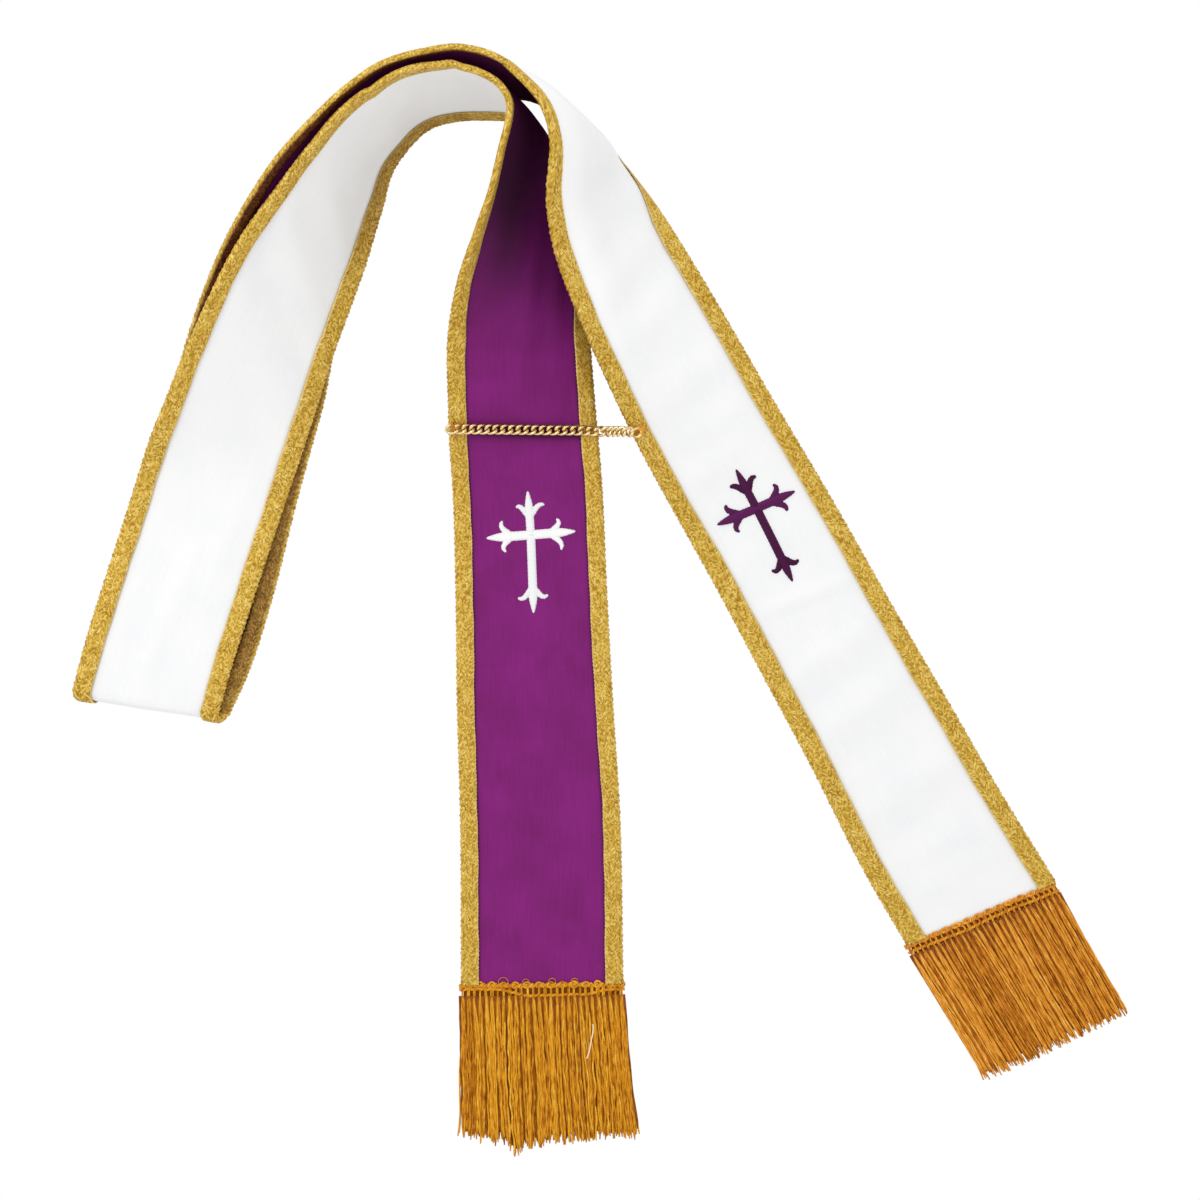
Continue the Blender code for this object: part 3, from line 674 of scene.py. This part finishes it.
def fringeMaterial(name, colours):
    # bright rayon yarn that lies in waves; painted highlight and painted shade run along it for 5
    # to
    # 10 mm at a time; each thread took the dye a little apart
    made, tree, shader = newMaterial(name, Roughness=0.6, Specular_IOR_Level=0.08)
    tone = addNode(tree, "Attribute", attribute_name="tone").outputs["Fac"]
    along = addNode(tree, "Attribute", attribute_name="along").outputs["Fac"]
    runs = addNode(tree, "TexNoise", {"Scale": 1 / fringe["shine"], "Detail": 1.0}, {"W": along},
                   noise_dimensions="1D")
    # painted highlight and shade along the thread
    swing = addNode(tree, "MapRange", {1: 0.3, 2: 0.7, 3: -0.15, 4: 0.15}, {0: runs})
    both = addNode(tree, "Math", {}, {0: tone, 1: swing})
    dyed = addNode(tree, "ValToRGB", {}, {0: both}, tuple(zip(
        (0.0, 1.0, 0.25, 0.5, 0.75, 0.96), colours)))
    lot = addNode(tree, "TexWhiteNoise", {}, {"W": tone}, noise_dimensions="1D")
    faded = addNode(tree, "MapRange", {1: 0.5, 2: 1.0, 3: 0.0, 4: 0.45}, {0: lot})
    colour = addNode(tree, "Mix", {7: "#c4783c"}, {0: faded, 6: dyed}, data_type="RGBA").outputs[2]
    linkTo(shader, {"Base Color": colour})
    return made


def tuftPlan(half, values):  # the first tuft's left side and the width of them all, mm; how many
    start, width = -values["overhang"][0], half["width"][0] + sum(values["overhang"])
    return start, width, round(width / fringe["pitch"])


def fringeThreads(half, values):
    draw = random.Random(values["seed"])
    start, width, tufts = tuftPlan(half, values)
    steps = np.linspace(0, 1, fringe["points"])
    paths = []
    for k in range(tufts):
        drift = draw.uniform(-1, 1) * values["drift"]
        for m in range(fringe["under"] + fringe["over"]):
            below = m < fringe["under"]
            share = (k + ((m + 0.5) / fringe["under"] if below else 0.5)) / tufts
            fan = values["fan"][0] + (values["fan"][1] - values["fan"][0]) * share
            length = fringe["length"] + float(np.interp(share, *zip(*values["sag"])))
            length *= draw.uniform(*fringe["underLength" if below else "overLength"])
            down = steps * length
            ease = 1 - np.exp(-down / fringe["ease"])
            wave, phase = draw.uniform(*values["wave"]), draw.uniform(0, 6.28)
            waves = wave * np.sin(down * draw.uniform(*fringe["waves"]) + phase)
            inset = (share * width + start + fan * steps
                     + values["sway"] * steps * math.sin(share * 17) * np.sin(steps * 4))
            if below:
                inset = inset + 0.3 * waves * ease
                height = draw.uniform(*fringe["underHeight"]) + 2.2 * (1 - ease)
                # painted shade: the under threads are darker, most of all under the heading
                tone = draw.uniform(*fringe["underTone"]) * (0.3 + 0.7 * ease)
                radius = fringe["underThread"]
            else:
                inset = (inset + draw.uniform(-0.6, 0.6) * (1 - ease) + waves * ease
                         + (draw.uniform(-1, 1) * values["spread"] + drift * steps) * ease)
                high = draw.uniform(*fringe["overHeight"]) + 0.3 * np.sin(down * 0.2 + phase)
                height = fringe["top"] + (high - fringe["top"]) * ease
                tone = draw.uniform(*fringe["overTone"]) + 0.04 * (1 - ease)
                radius = fringe["overThread"] * values["thick"]
            paths.append({"points": onBand(half, 0.8 - fringe["head"] - down, inset,
                                           height - band["half"]),
                          "tone": tone, "radii": radius * np.clip((1 - steps) * 30, 0.6, 1)})
    for inset, bend, begin, length, height, tone in values["strays"]:
        inset = inset + bend * steps * steps + 0.009 * length * np.sin(steps * 9)
        points = onBand(half, begin - steps * length, inset, height - band["half"] + 0 * steps)
        radii = np.full(len(steps), fringe["stray"])
        paths.append({"points": points, "tone": tone, "radii": radii})
    return paths


def fringeHeading(half, values):
    draw = random.Random(values["seed"] + 1)
    start, width, tufts = tuftPlan(half, values)
    pitch = width / tufts
    fine = np.linspace(start, start + width, tufts * 10 + 1)
    turn = (fine - start) / pitch * 2 * math.pi
    slack = 1.1 * np.sin(fine / 9) + 0.6 * np.sin(fine / 3.7)
    low = np.interp(fine, *zip(*values["low"]))
    paths = []
    # the cords: mm from the hem, mm and phase of their swing, height above the table, tone
    for middle, swing, phase, high, tone in (
            (-1.6, 0.9, 0.0, 3.5, 0.62), (-1.8, 0.9, 2.1, 3.5, 0.5), (-2.4, 0.8, 4.2, 3.2, 0.56),
            (low, 0.5, 0.0, 3.5, 0.55), (low, 0.5, 3.1, 3.3, 0.45)):
        place = middle + swing * np.sin(turn + phase + slack) + 0.25 * slack
        height = high + 0.6 * np.cos(turn + phase + slack) - band["half"]
        paths.append({"points": onBand(half, place, fine, height), "tone": tone})
    down, around = np.linspace(0, 1, 7), np.linspace(0, 2 * math.pi, 15)
    for k in range(tufts):  # the posts between the cords, and a scallop over every other tuft
        middle = (k + 0.5) * pitch + start
        for side in (-0.5, 0.5):
            inset = middle + side * (1 - 0.4 * np.sin(down * math.pi)) + draw.uniform(-0.45, 0.45)
            high = 3.0 + 0.5 * np.sin(down * math.pi) - band["half"]
            place = fringe["postTop"] - fringe["post"] * down
            paths.append({"points": onBand(half, place, inset, high),
                          "radii": np.full(7, draw.uniform(0.65, 1)),
                          "tone": draw.uniform(0.3, 0.7)})
        if k % 2:
            place = -1.6 + draw.uniform(*values["scallop"]) * np.sin(around)
            ring = onBand(half, place, middle + fringe["scallop"] * np.cos(around),
                          3.7 + 0.5 * np.sin(around * 2) - band["half"])
            paths.append({"points": ring, "tone": draw.uniform(0.35, 0.7)})
    for inset, reach in values["picots"]:
        ring = onBand(half, 0.4 + reach * np.sin(around), inset + reach * np.cos(around),
                      3.9 + 0.4 * np.sin(around) - band["half"])
        paths.append({"points": ring, "radii": np.full(15, fringe["picot"]), "tone": 0.5})
    return paths


def shadeBackingMaterial():
    # a dark brown matt sheet behind the crochet, painted shade: it stands for the shade seen
    # through its gaps
    made, tree, shader = newMaterial("dark backing for painted shade", Roughness=0.95, Specular_IOR_Level=0.1)
    place = addNode(tree, "TexCoord").outputs["Object"]
    darkPatches = addNode(tree, "TexNoise", {"Scale": 1 / (1.11 * mm), "Detail": 1.0}, {"Vector": place})
    colour = addNode(tree, "Mix", {6: "#542a06", 7: "#94580e"},
                     {0: darkPatches}, data_type="RGBA").outputs[2]
    linkTo(shader, {"Base Color": colour})
    return made


def fringePiece(half, values, material):
    name, nodes = half["name"] + "_panel_fringe_yarn", [half["name"] + "_panel_fringe"]
    threads = tubeMesh(name, fringeThreads(half, values), 1.0, 4)
    heading = tubeMesh(name + "_heading", fringeHeading(half, values), fringe["cord"], 6)
    wide = half["width"][0] - 1
    distance, inset = np.meshgrid(np.linspace(*fringe["shadeBackingReach"], 12),
                                  np.linspace(1, wide, 40), indexing="ij")
    shadeBacking = 1.0 + 1.3 * np.clip((distance + 14) / 5, 0, 1)  # its height above the table, mm
    behind = gridMesh(name + "_shade_backing", onBand(half, distance, inset, shadeBacking - band["half"]), inset,
                      distance)
    return [addPiece(name, threads, material, nodes),
            addPiece(name + "_heading", heading, material, nodes),
            addPiece(name + "_shade_backing", behind, shadeBackingCloth, nodes, fringe["shadeBacking"], 1)]


shadeBackingCloth = shadeBackingMaterial()
mustardRayon = fringeMaterial("mustard rayon yarn", (
    "#74380a", "#f8e2bc", "#a8620c", "#d8941a", "#f0b42e", "#fdd468"))
orangeRayon = fringeMaterial("orange rayon yarn", (
    "#602a0a", "#f8dcb8", "#aa6014", "#da9024", "#f4b044", "#fdd070"))
# fan: mm that the first and last tufts lean by; sag: share across, and mm longer there; strays:
# inset, bend, start, length, height above the table, tone; overhang: mm past the band's left and
# right; low: inset, and where the heading's lower cords run, mm from the hem; picots: inset, radius
fringes = fringePiece(halves["purple"], {
    "seed": 5, "fan": (0.6, 7.0), "spread": 1.8, "drift": 1.2, "wave": (0.15, 0.7), "sway": 1.5,
    "thick": 1.0,
    "sag": [(0, -2), (0.12, 3), (0.24, 5), (0.3, 12), (0.36, 7), (0.6, 4), (0.8, 1), (1, 1)],
    "strays": [(-0.5, -4.0, -10, 92, 0.8, 0.6), (-1.5, -2.0, -40, 60, 0.8, 0.7),
               (106.5, 10.0, -12, 90, 0.8, 0.75), (86.8, -4.5, -28, 23, 4.3, 1.15)],
    "overhang": (1.7, 1.2), "scallop": (1.5, 2.5),
    "low": [(-2, -4.4), (24, -4.4), (45, -8.6), (82, -8.6), (94, -5.2), (109, -4.6)],
    "picots": [(27.5, 3.3), (42.5, 2.1), (60.0, 2.4), (75.0, 2.2)]}, mustardRayon)
fringes += fringePiece(halves["white"], {
    "seed": 8, "fan": (1.0, -3.5), "spread": 1.7, "drift": 1.0, "wave": (0.1, 0.4), "sway": 0.6,
    "thick": 0.92,
    "sag": [(0, 2), (0.3, 2), (0.7, 0), (1, -2)],
    "strays": [(0.5, -4.0, -10, 95, 0.8, 0.6), (1.5, -2.0, -30, 74, 0.8, 0.7)],
    "overhang": (2.4, -0.8), "scallop": (1.1, 1.7),
    "low": [(-3, -6.2), (30, -7.2), (60, -6.2), (109, -6.8)],
    "picots": []}, orangeRayon)
print("fringes")

cross = {
    "foot": 0.95,  # where the stitching starts above mid-cloth, just inside the cloth's face, mm
    "crown": 1.4,  # its height from there, mm
    "full": 1.6,  # half-width from which it has that height, mm
    "across": 9,  # points across a stitched column
    "step": 0.8,  # along a stitched column, mm
}
armPoint = namedtuple("armPoint", "back half")  # mm back from the tip, and half the width
armOutline = [armPoint(*row) for row in (
    (0, 0.35), (1.2, 0.95), (4.5, 1.75), (7.5, 2.35), (9.8, 2.6), (12.2, 3), (15.5, 2.8),
    (30, 2.75))]
leafPoint = namedtuple("leafPoint", "back side half")  # a leaf's middle line and half-width, mm
leafOutline = [leafPoint(*row) for row in (
    (16.6, 0.6, 1.75), (14.6, 2.2, 1.9), (12.2, 3.9, 1.85), (10.4, 5.9, 1.6), (9.6, 7.8, 1.35),
    (9.9, 9.3, 1), (10.3, 10.2, 0.45))]
# bearing from straight across to the right, degrees; length to the tip; where the tips of the
# leaves on its left and right are, as mm back from the arm's tip and mm to the side; tone, 0 to 1,
# a painted sheen, lighter on the arms across, where the stitches catch the light; wide, a share
arm = namedtuple("arm", "bearing length left right tone wide")
crossSizes = {
    "white": {"half": halves["purple"], "up": 298, "side": 0.9, "leaf": 1.06, "arms": [
        arm(92.0, 29.1, (10.2, 8.6), (9.7, 10.4), 0.45, 1.0),
        arm(-89.1, 51.9, (11.6, 9.9), (10.4, 10.0), 0.4, 1.05),
        arm(182.1, 29.5, (12.4, 10.0), (11.2, 10.7), 0.8, 1.12),
        arm(2.5, 29.7, (12.0, 9.2), (10.2, 11.4), 0.8, 1.12)]},
    "purple": {"half": halves["white"], "up": 307.5, "side": 1.3, "leaf": 1.22, "arms": [
        arm(88.6, 29.4, (8.7, 9.2), (10.8, 9.6), 0.25, 1.0),
        arm(-92.4, 54.1, (11.2, 9.8), (13.0, 9.3), 0.1, 1.05),
        arm(172.5, 28.4, (12.2, 10.1), (10.2, 10.0), 0.85, 1.1),
        arm(-5.8, 27.9, (11.6, 10.0), (10.2, 9.8), 0.85, 1.1)]},
}


def satinColumn(values, spine, halfWidths, crown):
    # a padded column of stitches: crowned across, and drawn down at its ends
    half, spine = values["half"], np.array(spine, float)
    far = pathLength(spine)
    at = np.linspace(0, far[-1], max(4, int(far[-1] / cross["step"])))
    line = np.stack([np.interp(at, far, spine[:, k]) for k in range(2)], 1)
    wide = np.interp(at, far, halfWidths) + 0.13 * np.sin(at * 4.1) + 0.08 * np.sin(at * 2.3)
    ahead = np.gradient(line, axis=0)
    ahead /= np.linalg.norm(ahead, axis=1)[:, None]
    beside = np.stack([ahead[:, 1], -ahead[:, 0]], 1)
    place = np.linspace(-1, 1, cross["across"])
    flat = line[:, None, :] + beside[:, None, :] * (wide[:, None] * place[None, :])[:, :, None]
    high = (crown * np.sqrt(np.clip(1 - place**2, 0, 1))[None, :]
            * np.clip(wide / cross["full"], 0.3, 1)[:, None])
    middle = widthAt(half, values["up"]) / 2 + values["side"]
    distance, inset = values["up"] + flat[:, :, 1], middle + flat[:, :, 0]
    points = onBand(half, distance, inset, cross["foot"] + high)
    return points, np.broadcast_to(at[:, None], high.shape)


def crossPiece(colour, material):
    values, bm, tones = crossSizes[colour], bmesh.new(), []
    for number, row in enumerate(values["arms"]):
        bearing = math.radians(row.bearing)
        ahead = np.array([math.cos(bearing), math.sin(bearing)])
        beside = np.array([ahead[1], -ahead[0]])
        outline = [point for point in armOutline if point.back < row.length]
        outline.append(armPoint(row.length + 2.5, 2.75))  # runs on past the cross's middle
        spines = [([ahead * (row.length - point.back) for point in outline],
                   [point.half * row.wide for point in outline], cross["crown"] * row.wide)]
        for side, tip in ((-1, row.left), (1, row.right)):
            end = leafOutline[-1]
            pull = np.linspace(0, 1, len(leafOutline)) ** 1.5
            spines.append(([ahead * (row.length - point.back - (tip[0] - end.back) * far)
                            + beside * side * (point.side + (tip[1] - end.side) * far)
                            for point, far in zip(leafOutline, pull)],
                           [point.half * values["leaf"] for point in leafOutline],
                           cross["crown"] * 0.85))
        for part, (spine, halfWidths, crown) in enumerate(spines):
            points, far = satinColumn(values, spine, halfWidths, crown)
            mesh = gridMesh("column", points, far * 0 + number * 10 + part * 3, far)
            bm.from_mesh(mesh)
            bpy.data.meshes.remove(mesh)
            # painted sheen: each arm's tone, the leaves a little darker
            tones += [row.tone - (0.25 if part else 0)] * (len(bm.verts) - len(tones))
    bmesh.ops.recalc_face_normals(bm, faces=list(bm.faces))
    mesh = bpy.data.meshes.new(colour + "_cross_stitching")
    bm.to_mesh(mesh)
    bm.free()
    addNumbers(mesh, "tone", tones)
    return addPiece(mesh.name, mesh, material, [colour + "_cross"])


def stitchMaterial(name, light, dark):
    # trilobal polyester embroidery thread in satin stitch, drawn at 0.8 mm a thread; its tone, from
    # the dark colour to the light one, is painted sheen
    made, tree, shader = newMaterial(name, Roughness=0.4, Specular_IOR_Level=0.12)
    uv = addNode(tree, "UVMap", uv_map="cloth")
    tone = addNode(tree, "Attribute", attribute_name="tone").outputs["Fac"]
    along = addNode(tree, "Mapping", {"Scale": (1, uvUnit / 0.8, 1)}, {"Vector": uv})
    threads = addNode(tree, "TexNoise", {"Scale": 1.0, "Detail": 1.0}, {"Vector": along})
    both = addNode(tree, "Mix", {0: 0.35}, {2: tone, 3: threads})
    colour = addNode(tree, "Mix", {6: dark, 7: light}, {0: both}, data_type="RGBA").outputs[2]
    bump = addNode(tree, "Bump", {"Strength": 0.6, "Distance": 0.0004}, {"Height": threads})
    linkTo(shader, {"Base Color": colour, "Normal": bump})
    return made


crosses = [crossPiece("white", stitchMaterial("white satin stitch", "#fbfbfb", "#e2e5e4")),
           crossPiece("purple", stitchMaterial("purple satin stitch", "#601a58", "#380a2f"))]
print("crosses")

chain = {
    "pitch": 5.2, "width": 7.5, "wire": 2.05, "twist": -1.5,  # mm
    "sides": 30,  # points round a link
    "thread": 0.36,  # radius of the threads at its ends, mm
    "foot": 2.1, "arch": 5.4,  # where they start above mid-cloth, and how far they go over it, mm
    "lift": 5.125,  # of its middle over mid-cloth, mm
}
# up from a half's hem and in from its left edge, mm; lift, mm; roll, degrees
chainPoint = namedtuple("chainPoint", "half up inset lift roll")
chainPath = [
    chainPoint("purple", 373.2, 1.0, 0.0, 0),
    chainPoint("purple", 372.8, 9.0, 0.0, 0),
    chainPoint("purple", 371.0, 30.0, -1.0, 0),
    chainPoint("purple", 367.8, 70.0, -1.0, 0),
    chainPoint("purple", 366.0, 92.0, 0.0, 6),
    chainPoint("purple", 365.0, 99.0, 0.0, 20),
    chainPoint("white", 393.5, -1.0, -0.6, 32),
    chainPoint("white", 390.0, 4.5, 0.6, 20),
]
# the threads that hold its ends: half, up, inset, then mm up and across to the other end
stitch = namedtuple("stitch", "half up inset rise run")
chainStitches = [
    stitch("purple", 369.5, 0.5, 8.0, 3.0), stitch("purple", 377.5, 1.0, -8.5, 3.5),
    stitch("purple", 370.5, 3.0, 6.5, -2.0), stitch("purple", 374.0, -0.6, 0.5, 8.0),
    stitch("white", 388.0, 0.5, 6.0, 9.5), stitch("white", 392.5, 1.0, 1.5, 9.0),
    stitch("white", 386.5, 3.0, 9.0, 1.5), stitch("white", 389.0, -0.4, 4.0, 8.0),
]


def chainLinks():
    stops = np.array([onBand(halves[p.half], p.up, p.inset, chain["lift"] + p.lift)
                      for p in chainPath]) / mm
    knots = pathLength(stops)
    fine = np.linspace(0, knots[-1], 800)
    path = smoothTable(knots, stops, fine)
    roll = np.interp(fine, knots, [p.roll for p in chainPath])
    along = pathLength(path)
    turn = np.linspace(0, 2 * math.pi, chain["sides"], endpoint=False)[:, None]
    longHalf = (chain["pitch"] + chain["wire"] + 0.1) / 2
    wideHalf = (chain["width"] - chain["wire"]) / 2
    links = []
    for number in range(int(along[-1] / chain["pitch"]) + 1):
        at = min(int(np.searchsorted(along, number * chain["pitch"])), len(path) - 2)
        ahead = Vector(path[at + 1] - path[at - 1 if at else 0]).normalized()
        side = Vector((0, 0, 1)).cross(ahead).normalized()
        rolled = Matrix.Rotation(math.radians(roll[at]), 3, ahead)
        side, up = rolled @ side, rolled @ ahead.cross(side)
        ring = (path[at] + np.array(ahead) * longHalf * np.cos(turn)
                + np.array(side) * wideHalf * np.sin(turn)
                + np.array(up) * chain["twist"] * np.sin(2 * turn))
        links.append({"points": ring * mm, "tone": 0.5})
    return links


def chainMaterial():
    # gilt brass wire, drawn and polished: clear highlights, brown in its hollows
    made, tree, shader = newMaterial("gilt brass wire", Metallic=1.0, Roughness=0.27)
    place = addNode(tree, "TexCoord").outputs["Object"]
    # paler and deeper gilt in random patches 3.3 mm across
    gildPatches = addNode(tree, "TexNoise", {"Scale": 1 / (3.33 * mm), "Detail": 2.0}, {"Vector": place})
    colour = addNode(tree, "Mix", {6: "#e4c070", 7: "#ffeec4"},
                     {0: gildPatches}, data_type="RGBA").outputs[2]
    linkTo(shader, {"Base Color": colour})
    return made


def heldEnds():
    along = np.linspace(0, 1, 9)
    arch = chain["foot"] + chain["arch"] * np.sin(along * math.pi)
    return [{"points": onBand(halves[row.half], row.up + row.rise * along,
                              row.inset + row.run * along, arch), "tone": 0.35 + 0.06 * number}
            for number, row in enumerate(chainStitches)]


links = chainLinks()
linkNodes = sorted(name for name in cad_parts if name.startswith("chain_link"))
addPiece("chain_links", tubeMesh("chain_links", links, chain["wire"] / 2, 8, True),
         chainMaterial(), linkNodes)
addPiece("chain_stitches", tubeMesh("chain_stitches", heldEnds(), chain["thread"], 4), orangeRayon,
         [])
print("chain", len(links))

studio = {
    "height": 2.4,  # of the camera above the table, m
    "frame": 0.8,  # width of the view at the table, m
    "sky": 0.84,  # strength overhead
    "horizon": 1.3,  # and level with the table, as a share of the sky
    "key": 13.0,  # W, a soft box on the upper left
    "keyAt": (-0.95, 1.0, 1.75), "keySize": 0.9,  # m
    "drop": 0.0004,  # of the table top, to clear the lowest threads, m
}


def addStudio():
    bpy.ops.mesh.primitive_plane_add(size=8, location=(0, 0, -studio["drop"]))
    floor = bpy.context.object
    floor.name = "table_top"
    # white paper lit from behind, so that it stays clear of shadows
    surface, tree, shader = newMaterial("backlit white paper", Roughness=0.9,
                                        Specular_IOR_Level=0.0, Base_Color=linearColour("#fafafa"))
    seen = addNode(tree, "LightPath").outputs["Is Camera Ray"]
    glow = addNode(tree, "Emission", {"Strength": 1.0})
    both = addNode(tree, "MixShader", {}, {0: seen, 1: shader, 2: glow})
    linkTo(tree.nodes["Material Output"], {"Surface": both})
    floor.data.materials.append(surface)
    world = bpy.data.worlds.new("studio")
    bpy.context.scene.world = world
    world.use_nodes = True
    tree = world.node_tree
    back = tree.nodes["Background"]
    ray = addNode(tree, "TexCoord").outputs["Generated"]
    up = addNode(tree, "SeparateXYZ", {}, {0: ray}).outputs[2]
    share = addNode(tree, "MapRange", {1: 0.0, 2: 0.8, 3: studio["sky"] * studio["horizon"],
                                       4: studio["sky"]}, {0: up})
    linkTo(back, {"Strength": share})
    back.inputs["Color"].default_value = (1, 1, 1, 1)
    lamp = bpy.data.lights.new("key", "AREA")
    lamp.size = studio["keySize"]
    lamp.energy = studio["key"]
    holder = addObject("key", lamp)
    holder.location = studio["keyAt"]
    holder.rotation_euler = (-holder.location).to_track_quat("-Z", "Y").to_euler()
    lens = bpy.data.cameras.new("above")
    lens.sensor_width = 36
    lens.lens = 36 * studio["height"] / studio["frame"]
    lens.clip_end = 20
    camera = addObject("above", lens)
    camera.location = (0, 0, studio["height"])
    bpy.context.scene.camera = camera
    bpy.context.scene.view_settings.view_transform = "Standard"


addStudio()
print("studio")

bpy.context.view_layer.update()
